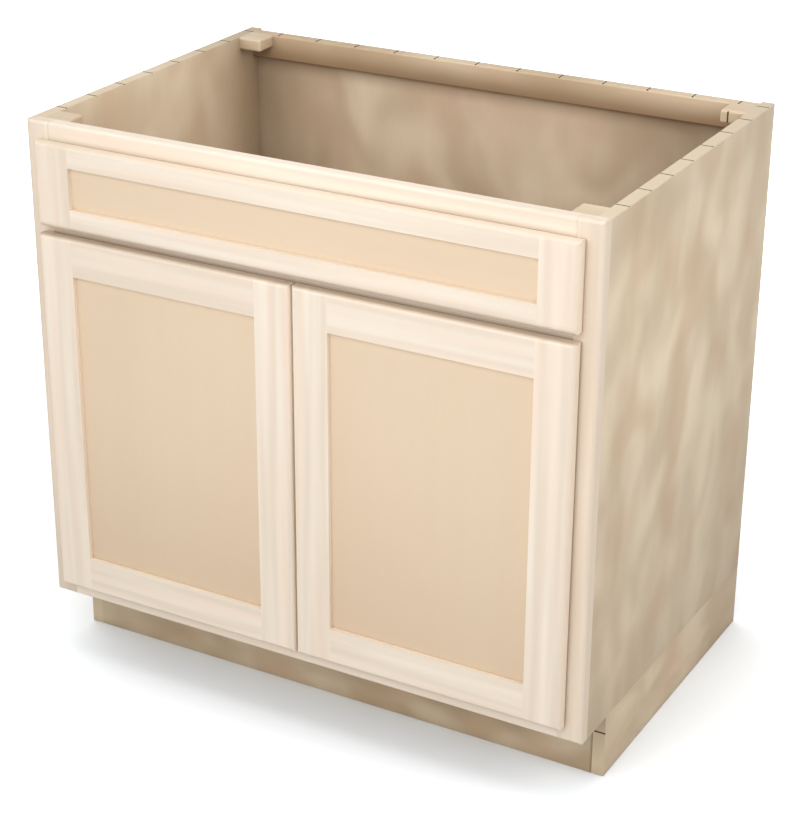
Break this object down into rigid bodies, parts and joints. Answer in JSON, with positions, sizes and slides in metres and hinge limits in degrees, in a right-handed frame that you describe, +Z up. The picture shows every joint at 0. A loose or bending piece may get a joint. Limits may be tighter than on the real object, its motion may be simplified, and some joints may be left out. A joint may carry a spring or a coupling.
{
  "type": "sink base cabinet",
  "caption": "Face-frame kitchen base cabinet for a sink: open top with corner blocks, fixed panelled false front, hinged panelled doors and a recessed plinth.",
  "frame": {"origin": "on the floor, at the centre of the overall width and of the overall depth", "axes": "+X across the front to the right as seen from the front, +Y from the doors towards the wall, +Z up"},
  "size_m": [0.9144, 0.626, 0.8763],
  "materials": {
    "face_wood": "satin",
    "panel_wood": "satin",
    "box_ply": "matte",
    "plinth_ply": "matte",
    "block_wood": "matte",
    "nickel_steel": "satin",
    "zinc_steel": "satin",
    "clear_bumper": "matte"
  },
  "bodies": {
    "carcass": {"back_panel": "box_ply", "back_panel_screws": "zinc_steel", "bottom_panel": "box_ply", "false_front_bottom_rail": "face_wood", "false_front_left_stile": "face_wood", "false_front_panel": "panel_wood", "false_front_right_stile": "face_wood", "false_front_screws": "zinc_steel", "false_front_top_rail": "face_wood", "frame_bottom_rail": "face_wood", "frame_left_stile": "face_wood", "frame_middle_rail": "face_wood", "frame_right_stile": "face_wood", "frame_top_rail": "face_wood", "front_left_block": "block_wood", "front_right_block": "block_wood", "hanging_rail": "block_wood", "left_lower_hinge_arm": "nickel_steel", "left_plate_screws": "zinc_steel", "left_plinth_side": "plinth_ply", "left_side_panel": "box_ply", "left_upper_hinge_arm": "nickel_steel", "plinth_bearer": "plinth_ply", "plinth_rear_rail": "plinth_ply", "pocket_screws": "zinc_steel", "rear_left_block": "block_wood", "rear_right_block": "block_wood", "right_lower_hinge_arm": "nickel_steel", "right_plate_screws": "zinc_steel", "right_plinth_side": "plinth_ply", "right_side_panel": "box_ply", "right_upper_hinge_arm": "nickel_steel", "toe_board": "plinth_ply"},
    "left_door": {"left_cup_screws": "zinc_steel", "left_door_bottom_rail": "face_wood", "left_door_bumpers": "clear_bumper", "left_door_hinge_stile": "face_wood", "left_door_meeting_stile": "face_wood", "left_door_panel": "panel_wood", "left_door_top_rail": "face_wood", "left_hinge_pins": "nickel_steel", "left_lower_hinge_cup": "nickel_steel", "left_upper_hinge_cup": "nickel_steel"},
    "right_door": {"right_cup_screws": "zinc_steel", "right_door_bottom_rail": "face_wood", "right_door_bumpers": "clear_bumper", "right_door_hinge_stile": "face_wood", "right_door_meeting_stile": "face_wood", "right_door_panel": "panel_wood", "right_door_top_rail": "face_wood", "right_hinge_pins": "nickel_steel", "right_lower_hinge_cup": "nickel_steel", "right_upper_hinge_cup": "nickel_steel"}
  },
  "joints": [
    {"name": "left_door_swing", "type": "hinge", "parent": "carcass", "child": "left_door", "pos_m": [-0.4248, -0.303, 0.4191], "axis": [0, 0, -1], "range_deg": [0, 105]},
    {"name": "right_door_swing", "type": "hinge", "parent": "carcass", "child": "right_door", "pos_m": [0.4248, -0.303, 0.4191], "axis": [0, 0, 1], "range_deg": [0, 105]}
  ]
}
